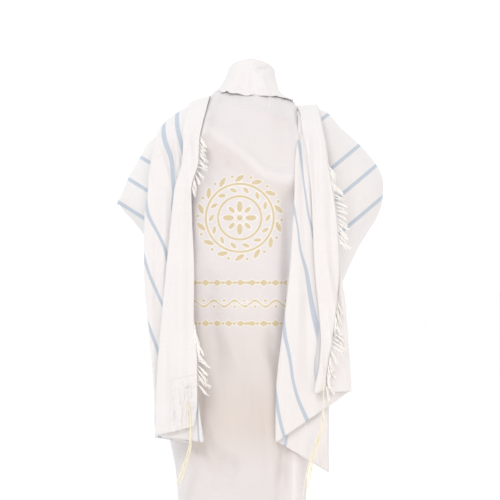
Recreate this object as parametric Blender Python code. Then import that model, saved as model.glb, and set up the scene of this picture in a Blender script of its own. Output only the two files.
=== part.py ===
"""A tallit prayer shawl as it is worn: over the shoulders and bent arms, with its two striped ends
thrown back over the shoulders so that they hang down the back in folds.

Every stretch of the one cloth is a wall of its own. +Z is up, the wearer's back faces -Y, and the
origin is the base of the neck, between the shoulders that carry the shawl. Tables are in millimetres.
"""

import math

import bmesh
import bpy
from mathutils import Vector

# ---------------------------------------------------------------- driving dimensions, in metres
CLOTH_WALL = 0.0015
SEAM_GAP = 0.0004
MOUTH_LAP = 0.010
MOUTH_LAP_GAP = 0.0056
MOUTH_LAP_FULLNESS = 4.0
HEM_HEIGHT = -1.300

# The falls are folded like a fan: layers lie close on the shoulder and open out as they hang.
LAYER_GAP_ON_SHOULDER = 0.0046
LAYER_GAP_HANGING = 0.0100
LAYERS_OPEN_OVER = 0.30
SHOULDER_SHAPE_FADES = 0.30
TAIL_SEAM = 0.0006

FRINGE_GAP = 0.0009
FRINGE_STRIP = 0.0030
FRINGE_WALL = 0.0018
FRINGE_SWING_VARIES = 3
TZITZIT_CORD = 0.0044
TZITZIT_KNOT = 0.0068
TZITZIT_KNOTS = 5
TZITZIT_WOUND = 0.095
TZITZIT_STRANDS = 8
TZITZIT_STRAND = 0.0022
TZITZIT_SPREAD = 0.0075

# How many faces a stretch has across and down it.
BACK_FACES_ACROSS = 22
BACK_FACES_DOWN = 28
ARM_FACES_ALONG = 13
ARM_FACES_ROUND = 24
RUN_FACES = 3
TURN_FACES = 3
FALL_FACES_DOWN = 20
TAIL_FACES_DOWN = 10
COLLAR_FACES_ROUND = 36
COLLAR_FACES_UP = 4
COLLAR_FACES_OVER = 3
COLLAR_FACES_DOWN = 6

WOOL_WHITE = (0.90, 0.89, 0.88, 1.0)
YARN_CREAM = (0.91, 0.88, 0.78, 1.0)


# ---------------------------------------------------------------- tables and smooth curves
def table(columns, rows):
    """The named columns of a short table of millimetres, in metres."""
    return {name: [row[i] / 1000 for row in rows] for i, name in enumerate(columns)}


def smooth_step(t):
    t = min(max(t, 0.0), 1.0)
    return t * t * (3 - 2 * t)


def mix(a, b, t):
    return a + (b - a) * t


def along(stations, values, at):
    """The value at a place on a smooth curve through the stations, which never overshoots them."""
    if stations[0] > stations[-1]:
        stations, values = stations[::-1], values[::-1]
    if at <= stations[0]:
        return values[0]
    if at >= stations[-1]:
        return values[-1]
    steps = [b - a for a, b in zip(stations, stations[1:])]
    slopes = [(b - a) / s for a, b, s in zip(values, values[1:], steps)]
    tangents = [slopes[0]]
    for before, after in zip(slopes, slopes[1:]):
        tangents.append(0.0 if before * after <= 0 else 2 * before * after / (before + after))
    tangents.append(slopes[-1])
    i = max(k for k in range(len(steps)) if stations[k] <= at)
    t = (at - stations[i]) / steps[i]
    return (
        (2 * t**3 - 3 * t**2 + 1) * values[i]
        + (t**3 - 2 * t**2 + t) * steps[i] * tangents[i]
        + (3 * t**2 - 2 * t**3) * values[i + 1]
        + (t**3 - t**2) * steps[i] * tangents[i + 1]
    )


def rounded(turn, power):
    """Sine and cosine of an angle on a squared-off circle, whose corners are fuller as power grows."""
    s, c = math.sin(turn), math.cos(turn)
    return (
        math.copysign(abs(s) ** (2 / power), s),
        math.copysign(abs(c) ** (2 / power), c),
    )


def crease_lift(creases, x, z):
    """How far soft troughs and ridges push the cloth out at a place, each a bump along a line."""
    lift = 0.0
    for x0, z0, x1, z1, width, height in creases:
        run_x, run_z = x1 - x0, z1 - z0
        length2 = run_x**2 + run_z**2
        t = ((x - x0) * run_x + (z - z0) * run_z) / length2
        across = abs((x - x0) * run_z - (z - z0) * run_x) / math.sqrt(length2)
        ends = smooth_step((t + 0.25) / 0.5) * smooth_step((1.25 - t) / 0.5)
        lift += height * ends * math.exp(-((across / width) ** 2))
    return lift


# ---------------------------------------------------------------- materials and objects
def material(name, colour, roughness):
    made = bpy.data.materials.new(name)
    made.use_nodes = True
    surface = made.node_tree.nodes["Principled BSDF"]
    surface.inputs["Base Color"].default_value = colour
    surface.inputs["Roughness"].default_value = roughness
    surface.inputs["Metallic"].default_value = 0.0
    return made


def add_object(name, shape, finish):
    """A mesh object from a bmesh, shaded smooth."""
    mesh = bpy.data.meshes.new(name)
    shape.to_mesh(mesh)
    shape.free()
    mesh.materials.append(finish)
    mesh.shade_smooth()
    made = bpy.data.objects.new(name, mesh)
    bpy.context.scene.collection.objects.link(made)
    return made


def add_cloth(name, rows, finish, ring=False, closed_end=False, wall=CLOTH_WALL):
    """A wall of cloth through rows of points. Rings close on themselves, and an end may be capped."""
    shape = bmesh.new()
    grid = [[shape.verts.new(p) for p in row] for row in rows]
    across = len(grid[0])
    for upper, lower in zip(grid, grid[1:]):
        for i in range(across if ring else across - 1):
            j = (i + 1) % across
            shape.faces.new((upper[i], lower[i], lower[j], upper[j]))
    if closed_end:
        last = grid[-1]
        centre = shape.verts.new(sum((v.co for v in last), Vector()) / across)
        for i in range(across):
            shape.faces.new((last[i], centre, last[(i + 1) % across]))
    bmesh.ops.recalc_face_normals(shape, faces=shape.faces)
    made = add_object(name, shape, finish)
    thick = made.modifiers.new("Wall", "SOLIDIFY")
    thick.thickness = wall
    thick.offset = 0.0
    thick.use_even_offset = True
    thick.use_quality_normals = True
    return made


# ---------------------------------------------------------------- the cloth over each arm
# A rounded pouch that the bent arm holds out. Each row is one ring of it, from its open mouth by the
# body to the elbow: the ring's top and bottom seen from behind, and how far it reaches back and front.
ARM_COLUMNS = ("top_x", "top_z", "bottom_x", "bottom_z", "back_y", "front_y")
ARM_FULLNESS = 2.5
ARMS = {
    "left": table(ARM_COLUMNS, [
        (-168, -44, -216, -500, -118, 92),
        (-196, -50, -238, -490, -124.5, 112),
        (-236, -90.5, -279, -453, -120, 146),
        (-271, -132, -312, -415, -107, 180),
        (-303, -153, -333, -388, -92, 203),
        (-331, -203, -353, -364, -72, 206),
        (-360, -256, -375, -341, -46, 190),
        (-385, -301, -390, -322, -14, 148),
        (-395, -314, -396, -321, 20, 110),
    ]),
    "right": table(ARM_COLUMNS, [
        (168, -88, 196, -606, -118, 92),
        (190, -53.5, 214, -604, -124, 112),
        (228, -55, 244, -588, -121, 146),
        (268, -90, 273, -553, -110, 182),
        (311, -128, 296, -503, -94, 203),
        (346, -163, 322, -450, -76, 206),
        (376, -201, 352, -401, -52, 190),
        (393, -236, 379, -357, -22, 152),
        (397, -262, 392, -322, 16, 112),
    ]),
}
# Soft ridges where the cloth hangs from the upper arm: start, end, width and height.
ARM_CREASES = {
    "left": [(-0.25, -0.10, -0.33, -0.36, 0.022, 0.005), (-0.32, -0.20, -0.37, -0.31, 0.018, 0.004)],
    "right": [(0.24, -0.10, 0.33, -0.40, 0.026, 0.006), (0.30, -0.15, 0.27, -0.50, 0.024, -0.005)],
}


def arm_ring(side, place):
    """One ring of the pouch, at a place from 0 at its mouth to 1 at the elbow."""
    rows = ARMS[side]
    stations = [k / (len(rows["top_x"]) - 1) for k in range(len(rows["top_x"]))]
    return {name: along(stations, rows[name], place) for name in ARM_COLUMNS}


def arm_point(side, place, turn):
    """A point of the pouch. Turn 0 is its top, a quarter turn its back, and half a turn its bottom."""
    ring = arm_ring(side, place)
    out, up = rounded(turn, ARM_FULLNESS)
    x = mix(ring["bottom_x"], ring["top_x"], (up + 1) / 2)
    z = mix(ring["bottom_z"], ring["top_z"], (up + 1) / 2)
    middle = (ring["back_y"] + ring["front_y"]) / 2
    reach = (ring["front_y"] - ring["back_y"]) / 2
    away_from_mouth = smooth_step(place * 1.6)
    lift = crease_lift(ARM_CREASES[side], x, z) * max(out, 0.0) * away_from_mouth
    return Vector((x, middle - out * reach - lift, z))


def build_arm(side, finish):
    rings = []
    for i in range(ARM_FACES_ALONG + 1):
        place = 1 - (1 - i / ARM_FACES_ALONG) ** 1.25
        rings.append([
            arm_point(side, place, 2 * math.pi * k / ARM_FACES_ROUND) for k in range(ARM_FACES_ROUND)
        ])
    return add_cloth(f"{side}_arm_drape", rings, finish, ring=True, closed_end=True)


def arm_mouth(side, height):
    """Where the back's edge laps over the pouch's mouth at a height, or None above or below it."""
    ring = arm_ring(side, 0)
    share = (height - ring["bottom_z"]) / (ring["top_z"] - ring["bottom_z"])
    if not 0 < share < 1:
        return None
    up = 2 * share - 1
    out = (1 - abs(up) ** MOUTH_LAP_FULLNESS) ** (1 / MOUTH_LAP_FULLNESS)
    middle = (ring["back_y"] + ring["front_y"]) / 2
    reach = (ring["front_y"] - ring["back_y"]) / 2 + MOUTH_LAP_GAP
    lap = MOUTH_LAP * smooth_step((ring["top_z"] - height) / 0.08)
    x = mix(ring["bottom_x"], ring["top_x"], share)
    return x + math.copysign(lap, x), middle - out * reach


# ---------------------------------------------------------------- the back
# It hangs from the nape to the hem and wraps round the sides below the arms. Beside an arm its edge
# laps over the pouch's mouth; elsewhere the table gives it. Wrap is the angle a side turns through.
BACK_FULLNESS = 2.5
BACK_DEPTH = table(("height", "back_y"), [
    (12, -80), (0, -97), (-14, -107), (-32, -116), (-60, -125), (-110, -133),
    (-200, -139), (-350, -142), (-600, -145), (-900, -149), (-1300, -152),
])
BACK_SIDES = {
    "left": table(("height", "end_x", "end_y"), [
        (12, -62, -46), (2, -84, -48), (-10, -110, -46), (-24, -136, -42), (-44, -160, -38),
        (-500, -226, -112), (-530, -238, -88), (-570, -250, -26), (-640, -258, 46), (-800, -252, 58),
        (-1000, -229, 52), (-1120, -209, 44), (-1300, -199, 38),
    ]),
    "right": table(("height", "end_x", "end_y"), [
        (12, 62, -46), (2, 88, -46), (-20, 114, -44), (-44, 131, -38), (-60, 135, -36),
        (-74, 137, -40), (-88, 154, -48), (-606, 206, -112), (-640, 214, -85), (-680, 218, -28),
        (-740, 218, 40), (-900, 200, 52),
        (-1000, 183, 50), (-1120, 163, 42), (-1300, 154, 38),
    ]),
}
BACK_WRAP = {"height": [0.012, -0.06, -0.48, -0.64, -1.3], "degrees": [56, 56, 66, 108, 112]}
# The longest soft folds: start, end, width and height.
BACK_CREASES = [
    (-0.115, -0.125, 0.000, -0.215, 0.020, 0.0065),
    (0.000, -0.215, 0.120, -0.262, 0.022, 0.0065),
    (-0.125, -0.150, -0.060, -0.250, 0.016, -0.0040),
    (0.010, -0.040, 0.140, -0.095, 0.016, -0.0040),
    (-0.075, -0.660, 0.065, -0.830, 0.030, 0.0080),
    (0.035, -0.640, 0.100, -0.745, 0.024, -0.0060),
    (-0.130, -0.980, -0.060, -1.110, 0.030, -0.0090),
    (-0.020, -0.900, -0.005, -1.290, 0.026, 0.0060),
    (0.112, -1.020, 0.120, -1.300, 0.014, 0.0110),
    (-0.165, -1.060, -0.150, -1.300, 0.018, 0.0080),
]


def back_side(side, height):
    """Where the back ends at one side, at a height."""
    mouth = arm_mouth(side, height)
    if mouth is None:
        rows = BACK_SIDES[side]
        return tuple(along(rows["height"], rows[name], height) for name in ("end_x", "end_y"))
    return mouth


def back_point(across, height):
    """A point of the back, from -1 at its left end through 0 at its middle to 1 at its right end."""
    middle_y = along(BACK_DEPTH["height"], BACK_DEPTH["back_y"], height)
    wrap = math.radians(along(BACK_WRAP["height"], BACK_WRAP["degrees"], height))
    end_x, end_y = back_side("left" if across < 0 else "right", height)
    end_out, end_back = rounded(wrap, BACK_FULLNESS)
    out, back = rounded(wrap * abs(across), BACK_FULLNESS)
    x = end_x * out / end_out
    y = middle_y + (end_y - middle_y) * (1 - back) / (1 - end_back)
    facing_back = smooth_step((-0.04 - y) / 0.05)
    return Vector((x, y - crease_lift(BACK_CREASES, x, height) * facing_back, height))


def build_back(finish):
    top = BACK_DEPTH["height"][0]
    rows = []
    for i in range(BACK_FACES_DOWN + 1):
        height = top + (HEM_HEIGHT - top) * (i / BACK_FACES_DOWN) ** 1.35
        rows.append([
            back_point(2 * k / BACK_FACES_ACROSS - 1, height) for k in range(BACK_FACES_ACROSS + 1)
        ])
    return add_cloth("back_panel", rows, finish)


# ---------------------------------------------------------------- the ends thrown back
# Each fall is folded four deep. Its columns are the fringed edge, which lies outermost, the fold that
# shows in the middle, the fold tucked behind the edge, the outer fold, and the end behind all of them.
FALL_COLUMNS = ("height", "edge", "middle_fold", "tucked_fold", "outer_fold", "inner_end")
FALLS = {
    "left": table(FALL_COLUMNS, [
        (10, -112, -180, -132, -246, -162),
        (-29, -126, -188, -138, -256, -176),
        (-68, -138, -197, -147, -270, -191),
        (-118, -147, -203, -156, -282, -206),
        (-191, -150, -204, -160, -291, -215),
        (-279, -170, -218, -178, -298, -222),
        (-373, -168, -229, -176, -308, -228),
        (-520, -162, -244, -172, -309, -232),
        (-647, -163, -256, -172, -298, -232),
        (-779, -153, -267, -163, -286, -232),
        (-897, -153, -273, -146, -278, -226),
        (-1014, -172, -276, -126, -276, -180),
    ]),
    "right": table(FALL_COLUMNS, [
        (-30, 197, 147, 200, 141, 182),
        (-91, 209, 151, 212, 141, 188),
        (-132, 219, 159, 222, 138, 194),
        (-191, 226, 168, 229, 132, 200),
        (-300, 243, 179, 244, 129, 206),
        (-403, 255, 183, 256, 123, 214),
        (-520, 259, 189, 265, 115, 220),
        (-603, 252, 197, 276, 106, 224),
        (-720, 237, 206, 285, 91, 227),
        (-794, 224, 201, 291, 82, 229),
        (-867, 219, 187, 294, 76, 229),
        (-1014, 219, 187, 294, 74, 229),
        (-1103, 219, 187, 294, 74, 229),
    ]),
}
# The height at which each of those columns ends.
FALL_ENDS = {
    "left": dict(zip(FALL_COLUMNS[1:], (-0.967, -0.995, -1.014, -1.002, -1.017))),
    "right": dict(zip(FALL_COLUMNS[1:], (-0.860, -0.873, -0.867, -1.014, -1.103))),
}
# The ends that stay in front are the same folds, narrower and plain.
TAILS = {
    "left": table(FALL_COLUMNS, [
        (10, -112, -180, -132, -246, -162),
        (-40, -104, -166, -120, -206, -150),
        (-110, -92, -146, -104, -168, -134),
        (-460, -78, -140, -92, -162, -128),
    ]),
    "right": table(FALL_COLUMNS, [
        (-30, 197, 147, 200, 141, 182),
        (-80, 184, 134, 188, 124, 168),
        (-150, 160, 110, 164, 98, 146),
        (-460, 152, 94, 156, 82, 134),
    ]),
}
TAIL_ENDS = dict(zip(FALL_COLUMNS[1:], (-0.440, -0.430, -0.425, -0.415, -0.410)))
# The shoulder line under the falls, and the path that their innermost layer takes from it: how far
# behind the line, and how far below it.
SHOULDERS = {
    "left": table(("x", "z"), [
        (-310, -184), (-270, -124), (-235, -79), (-190, -42), (-147, -19), (-104, -3),
    ]),
    "right": table(("x", "z"), [
        (100, -52), (141, -59), (200, -53), (226, -64), (250, -84), (300, -132),
    ]),
}
FALL_PATH = table(("behind", "below"), [
    (0, 0), (28, 1), (62, 6), (98, 18), (127, 40),
    (145, 76), (152, 135), (154, 240), (156, 400), (160, 1200),
])
TAIL_PATH = table(("behind", "below"), [
    (0, 0), (-28, 1), (-56, 7), (-88, 24), (-114, 54), (-134, 104), (-145, 170), (-150, 250), (-152, 500),
])
# Beyond this far from the middle a fall curls forward round the arm, and it sways a little as it hangs.
CURL_STARTS = 0.19
CURL = 1.8
SWAY = 0.004
SMALL_STEP = 0.0005


def path_at(path, below):
    """How far behind the shoulder the path is, this far below it, and its direction there."""
    behind = along(path["below"], path["behind"], below)
    ahead = along(path["below"], path["behind"], below + SMALL_STEP)
    return behind, Vector((ahead - behind, SMALL_STEP)).normalized()


def fan_section(column_x, column_z, layer_gap):
    """A cross-section folded like a fan, as points across it: x, height, and layers out.

    Straight runs join half-circle turns, whose diameter is the gap between two layers.
    """
    names = FALL_COLUMNS[1:]
    runs = list(zip(names, names[1:]))
    section = []
    for run, (start, end) in enumerate(runs):
        layer = len(runs) - 1 - run
        sign = math.copysign(1, column_x[end] - column_x[start])
        x0 = column_x[start] + sign * layer_gap / 2 * (run > 0)
        x1 = column_x[end] - sign * layer_gap / 2 * (layer > 0)
        for k in range(RUN_FACES + 1):
            t = k / RUN_FACES
            section.append((mix(x0, x1, t), mix(column_z[start], column_z[end], t), layer))
        for k in range(1, TURN_FACES if layer > 0 else 1):
            turn = math.pi * k / TURN_FACES
            x = x1 + sign * math.sin(turn) * layer_gap / 2
            section.append((x, column_z[end], layer - (1 - math.cos(turn)) / 2))
    return section


def fall_row(rows, ends, shoulder, path, facing, share):
    """One row across a fall, at a share of the way from the shoulder to its ends. Facing is 1 behind
    the wearer and -1 in front."""
    top = rows["height"][0]
    heights = {name: mix(top, ends[name], share**1.6) for name in FALL_COLUMNS[1:]}
    places = {name: along(rows["height"], rows[name], heights[name]) for name in heights}
    mean_fall = top - sum(heights.values()) / len(heights)
    layer_gap = mix(LAYER_GAP_ON_SHOULDER, LAYER_GAP_HANGING, smooth_step(mean_fall / LAYERS_OPEN_OVER))
    line = []
    for x, height, layer in fan_section(places, heights, layer_gap):
        fall = top - height
        behind, run = path_at(path, fall)
        ridge = along(shoulder["x"], shoulder["z"], x)
        slope = (along(shoulder["x"], shoulder["z"], x + SMALL_STEP) - ridge) / SMALL_STEP
        thickness = layer * layer_gap
        curl = CURL * max(abs(x) - CURL_STARTS, 0.0) ** 2 * smooth_step(fall / 0.1)
        sway = SWAY * math.sin(11 * x + 5.5 * height) * smooth_step(fall / 0.2)
        y = -behind + facing * (curl + sway - run[1] * thickness)
        z = mix(height, ridge - fall, 1 - smooth_step(fall / SHOULDER_SHAPE_FADES))
        line.append(Vector((x, y, z + abs(run[0]) * thickness * math.hypot(1, slope))))
    return line


def build_fall(side, finish):
    rows = [
        fall_row(FALLS[side], FALL_ENDS[side], SHOULDERS[side], FALL_PATH, 1, i / FALL_FACES_DOWN)
        for i in range(FALL_FACES_DOWN + 1)
    ]
    add_cloth(f"{side}_fall", rows, finish)
    return rows


def build_tail(side, finish):
    rows = [
        fall_row(TAILS[side], TAIL_ENDS, SHOULDERS[side], TAIL_PATH, -1, i / TAIL_FACES_DOWN)
        for i in range(TAIL_FACES_DOWN + 1)
    ]
    for row in rows:
        for point in row:
            point.y += TAIL_SEAM
    add_cloth(f"{side}_front_tail", rows, finish)
    return rows


# ---------------------------------------------------------------- the fold that stands round the neck
# Each row is one section of it, from the left end on the chest round the nape to the right end. The
# cloth rises from its base to the crest, turns over, and comes down by its waist to a free edge.
COLLAR = table((
    "base_x", "base_y", "base_z", "crest_x", "crest_y", "crest_z",
    "waist_x", "waist_y", "waist_z", "edge_x", "edge_y", "edge_z",
), [
    (-44, 62, -62, -40, 70, -38, -54, 76, -56, -72, 78, -80),
    (-58, 40, -12, -52, 44, 34, -68, 50, 8, -86, 52, -16),
    (-65, -2, 8, -60, -4, 74, -73, -6, 46, -98, -16, 12),
    (-47, -56, 14, -43, -60, 95, -54, -78, 50, -70, -100, 4),
    (0, -80, 13, 0, -84, 105, 0, -98, 52, 4, -117, -1),
    (47, -56, 14, 45, -60, 96, 56, -80, 48, 74, -104, -9),
    (66, -2, 6, 71, -6, 74, 79, -14, 22, 134, -46, -24),
    (60, 40, -12, 62, 44, 36, 74, 48, 0, 96, 46, -30),
    (46, 62, -62, 44, 70, -38, 60, 76, -60, 78, 80, -84),
])
COLLAR_CREST_THICKNESS = 0.009
COLLAR_EDGE_WAVES = 6.5
COLLAR_EDGE_WAVE_HEIGHT = 0.0035


def collar_section(place):
    """One section of the collar, at a place from 0 at its left end to 1 at its right end."""
    stations = [k / (len(COLLAR["base_x"]) - 1) for k in range(len(COLLAR["base_x"]))]
    base, crest, waist, edge = (
        Vector([along(stations, COLLAR[f"{part}_{axis}"], place) for axis in "xyz"])
        for part in ("base", "crest", "waist", "edge")
    )
    edge.z += COLLAR_EDGE_WAVE_HEIGHT * math.sin(2 * math.pi * COLLAR_EDGE_WAVES * place)
    away = Vector((edge.x - base.x, edge.y - base.y, 0)).normalized() * COLLAR_CREST_THICKNESS / 2
    inner_top, outer_top = crest - away, crest + away
    section = [base.lerp(inner_top, k / COLLAR_FACES_UP) for k in range(COLLAR_FACES_UP + 1)]
    for k in range(1, COLLAR_FACES_OVER):
        turn = math.pi * k / COLLAR_FACES_OVER
        section.append(crest - away * math.cos(turn) + Vector((0, 0, away.length * math.sin(turn))))
    for k in range(COLLAR_FACES_DOWN + 1):
        t = k / COLLAR_FACES_DOWN
        section.append(outer_top * (1 - t) ** 2 + waist * 2 * t * (1 - t) + edge * t**2)
    return section


def build_collar(finish):
    sections = [collar_section(k / COLLAR_FACES_ROUND) for k in range(COLLAR_FACES_ROUND + 1)]
    return add_cloth("neck_fold", sections, finish)


# ---------------------------------------------------------------- fringe
# Each stretch of fringe that shows: the heights it runs between, how many locks it has, how long they
# are, and the angle in degrees that they swing out from straight down.
FRINGES = {
    "left_fall_upper_fringe": ("left_fall", -0.120, -0.290, 12, 0.036, 42),
    "left_fall_lower_fringe": ("left_fall", -0.640, -0.860, 18, 0.062, 34),
    "right_fall_upper_fringe": ("right_fall", -0.205, -0.440, 18, 0.048, 46),
    "right_fall_lower_fringe": ("right_fall", -0.600, -0.855, 20, 0.052, 36),
    "left_front_fringe": ("left_front_tail", -0.165, -0.430, 12, 0.052, 42),
    "right_front_fringe": ("right_front_tail", -0.165, -0.430, 12, 0.052, 42),
}
# A lock narrows from its root to its tip: place along it, half its width, and half its depth.
LOCK_SECTIONS = [(0.14, 0.0021, 0.0013), (0.62, 0.0019, 0.0014), (1.0, 0.0012, 0.0009)]


def edge_frames(rows, top, bottom, count):
    """Evenly spaced places down a fringed edge: the point, the way out from the cloth, and its normal."""
    edge = [(row[0], (row[0] - row[1]).normalized()) for row in rows]
    frames = []
    for k in range(count + 1):
        height = mix(top, bottom, k / count)
        i = max(n for n in range(len(edge) - 1) if edge[n][0].z >= height)
        t = (edge[i][0].z - height) / (edge[i][0].z - edge[i + 1][0].z)
        point = edge[i][0].lerp(edge[i + 1][0], t)
        out = edge[i][1].lerp(edge[i + 1][1], t).normalized()
        down = (edge[i + 1][0] - edge[i][0]).normalized()
        frames.append((point, out, out.cross(down).normalized()))
    return frames


def draw_out_lock(shape, root, out, normal, length, swing, bend):
    """Draws a four-sided root face out into a hanging lock."""
    hang = out * math.sin(swing) + Vector((0, 0, -math.cos(swing)))
    across = normal.cross(hang).normalized()
    if across.dot(root[2].co - root[1].co) < 0:
        across = -across
    centre = sum((v.co for v in root), Vector()) / 4
    for place, half_width, half_depth in LOCK_SECTIONS:
        middle = centre + hang * length * place + normal * bend * place**2
        corners = ((-1, -1), (1, -1), (1, 1), (-1, 1))
        tip = [
            shape.verts.new(middle + normal * half_depth * i + across * half_width * j)
            for i, j in corners
        ]
        for i in range(4):
            j = (i + 1) % 4
            shape.faces.new((root[i], root[j], tip[j], tip[i]))
        root = tip
    shape.faces.new(root)


def build_fringe(name, rows, top, bottom, count, length, swing, finish):
    """A narrow strip beside the edge, whose outer face is drawn out into tapering locks."""
    shape = bmesh.new()
    frames = edge_frames(rows, top, bottom, count)
    rings = []
    for point, out, normal in frames:
        near, far = point + out * FRINGE_GAP, point + out * (FRINGE_GAP + FRINGE_STRIP)
        half = normal * FRINGE_WALL / 2
        rings.append([shape.verts.new(p) for p in (near - half, far - half, far + half, near + half)])
    shape.faces.new(rings[0][::-1])
    shape.faces.new(rings[-1])
    for k, (upper, lower) in enumerate(zip(rings, rings[1:])):
        for i in (0, 2, 3):
            j = (i + 1) % 4
            shape.faces.new((upper[i], upper[j], lower[j], lower[i]))
        this_swing = math.radians(swing + FRINGE_SWING_VARIES * math.sin(0.8 * k))
        this_length = length * (0.88 + 0.12 * math.sin(1.7 * k + 0.6))
        bend = 0.003 * math.sin(3.1 * k)
        root = (upper[1], upper[2], lower[2], lower[1])
        draw_out_lock(shape, root, frames[k][1], frames[k][2], this_length, this_swing, bend)
    bmesh.ops.recalc_face_normals(shape, faces=shape.faces)
    return add_object(name, shape, finish)


# ---------------------------------------------------------------- tzitzit
# Where each one hangs: a smooth line through these points, from the corner of the cloth to its tips.
TZITZIT = {
    "left_fall_tzitzit": table(("x", "y", "z"), [
        (-182, -197.5, -897), (-172, -200, -945), (-173, -200, -1014),
        (-192, -192, -1090), (-214, -188, -1150),
    ]),
    "right_fall_tzitzit": table(("x", "y", "z"), [
        (213, -194.8, -842), (213, -203, -900), (210, -206, -955), (192, -204, -1020),
        (171, -200, -1094), (159, -195, -1185),
    ]),
    "left_front_tzitzit": table(("x", "y", "z"), [
        (-84, 186.3, -420), (-82, 189, -480), (-80, 190, -560), (-80, 190, -640), (-81, 190, -700),
    ]),
    "right_front_tzitzit": table(("x", "y", "z"), [
        (146, 189, -420), (147, 191, -480), (148, 190, -560), (148, 190, -640), (147, 190, -700),
    ]),
}


def line_at(line, place):
    stations = [k / (len(line["x"]) - 1) for k in range(len(line["x"]))]
    return Vector([along(stations, line[axis], place) for axis in "xyz"])


def ring_round(shape, centre, radius, turns):
    return [shape.verts.new(centre + Vector((math.sin(a), math.cos(a), 0)) * radius) for a in turns]


def draw_out_strand(shape, root, line, start, end, turn):
    """Draws a three-sided root face out along the line, away from its middle by this turn."""
    side = Vector((math.sin(turn), math.cos(turn), 0))
    turns = (turn + math.pi, turn - math.pi / 3, turn + math.pi / 3)
    for t in (0.12, 0.5, 1.0):
        centre = line_at(line, mix(start, end, t)) + side * (0.0026 + TZITZIT_SPREAD * t)
        tip = ring_round(shape, centre, TZITZIT_STRAND / 2, turns)
        for i in range(3):
            j = (i + 1) % 3
            shape.faces.new((root[i], root[j], tip[j], tip[i]))
        root = tip
    shape.faces.new(root)


def build_tzitzit(name, line, finish):
    """A cord wound and knotted round itself, whose foot opens into separate strands."""
    shape = bmesh.new()
    ends = [Vector([line[axis][k] for axis in "xyz"]) for k in range(len(line["x"]))]
    wound = TZITZIT_WOUND / sum((b - a).length for a, b in zip(ends, ends[1:]))
    steps = 4 * (TZITZIT_KNOTS - 1)
    turns = [2 * math.pi * i / TZITZIT_STRANDS for i in range(TZITZIT_STRANDS)]
    rings = []
    for k in range(steps + 1):
        width = TZITZIT_CORD if k % 4 else TZITZIT_KNOT
        rings.append(ring_round(shape, line_at(line, wound * k / steps), width / 2, turns))
    shape.faces.new(rings[0])
    for upper, lower in zip(rings, rings[1:]):
        for i in range(TZITZIT_STRANDS):
            j = (i + 1) % TZITZIT_STRANDS
            shape.faces.new((upper[i], upper[j], lower[j], lower[i]))
    middle = shape.verts.new(line_at(line, wound))
    for i, turn in enumerate(turns):
        root = (middle, rings[-1][i], rings[-1][(i + 1) % TZITZIT_STRANDS])
        end = 1 - 0.08 * (1 + math.sin(2.1 * i))
        draw_out_strand(shape, root, line, wound, end, turn + math.pi / TZITZIT_STRANDS)
    bmesh.ops.recalc_face_normals(shape, faces=shape.faces)
    return add_object(name, shape, finish)


# ---------------------------------------------------------------- the patch on the corner that shows
def build_patch(name, rows, across, down, finish):
    """A square of the same cloth laid on the fall, from the fall's own points moved out."""
    moved = []
    for i in down:
        line = []
        for j in across:
            down_the_fall = rows[min(i + 1, len(rows) - 1)][j] - rows[i - 1][j]
            across_the_fall = rows[i][max(j - 1, 0)] - rows[i][j + 1]
            normal = across_the_fall.cross(down_the_fall).normalized()
            if normal.y > 0:
                normal = -normal
            line.append(rows[i][j] + normal * (CLOTH_WALL + SEAM_GAP))
        moved.append(line)
    return add_cloth(name, moved, finish)


def main():
    for thing in list(bpy.data.objects):
        bpy.data.objects.remove(thing, do_unlink=True)
    wool = material("white_wool", WOOL_WHITE, 0.85)
    yarn = material("cream_fringe_yarn", YARN_CREAM, 0.9)
    build_back(wool)
    build_collar(wool)
    rows = {}
    for side in ("left", "right"):
        build_arm(side, wool)
        rows[f"{side}_fall"] = build_fall(side, wool)
        rows[f"{side}_front_tail"] = build_tail(side, wool)
    for name, (edge, top, bottom, count, length, swing) in FRINGES.items():
        build_fringe(name, rows[edge], top, bottom, count, length, swing, yarn)
    for name, line in TZITZIT.items():
        build_tzitzit(name, line, yarn)
    last_rows = range(FALL_FACES_DOWN - 2, FALL_FACES_DOWN + 1)
    build_patch("left_corner_patch", rows["left_fall"], range(3), last_rows, wool)


main()
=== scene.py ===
import math
from functools import partial

import bmesh
import bpy
import numpy as np
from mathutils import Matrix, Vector


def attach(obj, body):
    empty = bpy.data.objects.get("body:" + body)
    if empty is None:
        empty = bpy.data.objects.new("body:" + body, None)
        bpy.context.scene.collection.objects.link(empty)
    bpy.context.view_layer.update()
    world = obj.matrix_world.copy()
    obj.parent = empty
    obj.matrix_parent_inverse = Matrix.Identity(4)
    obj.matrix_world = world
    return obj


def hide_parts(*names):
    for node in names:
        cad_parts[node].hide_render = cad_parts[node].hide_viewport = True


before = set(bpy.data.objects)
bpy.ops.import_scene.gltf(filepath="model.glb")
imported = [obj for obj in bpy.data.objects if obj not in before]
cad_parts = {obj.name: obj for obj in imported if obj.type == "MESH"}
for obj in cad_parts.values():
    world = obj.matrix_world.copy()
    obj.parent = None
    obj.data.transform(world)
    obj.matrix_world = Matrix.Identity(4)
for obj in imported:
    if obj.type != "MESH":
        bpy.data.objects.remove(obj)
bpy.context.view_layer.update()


# -------------------- the back of the shawl
# The middle of one long cloth of fine plain-woven wool. It hangs free from the nape to the hem and
# wraps round the wearer's sides; beside each arm its edge laps over the cloth that the arm carries.
# An ornament is screen-printed in pale gold between the shoulders and the waist.
def ease(t):
    """0 up to t = 0, 1 from t = 1, and a smooth rise between."""
    t = np.clip(t, 0.0, 1.0)
    return t * t * (3 - 2 * t)


def mix(a, b, t):
    return a + (b - a) * t


def table(columns, rows):
    """The named columns of a short table of millimetres, in metres."""
    return {name: np.array([row[i] for row in rows]) / 1000 for i, name in enumerate(columns)}


def both_sides(columns, left, right):
    return {"left": table(columns, left), "right": table(columns, right)}


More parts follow.
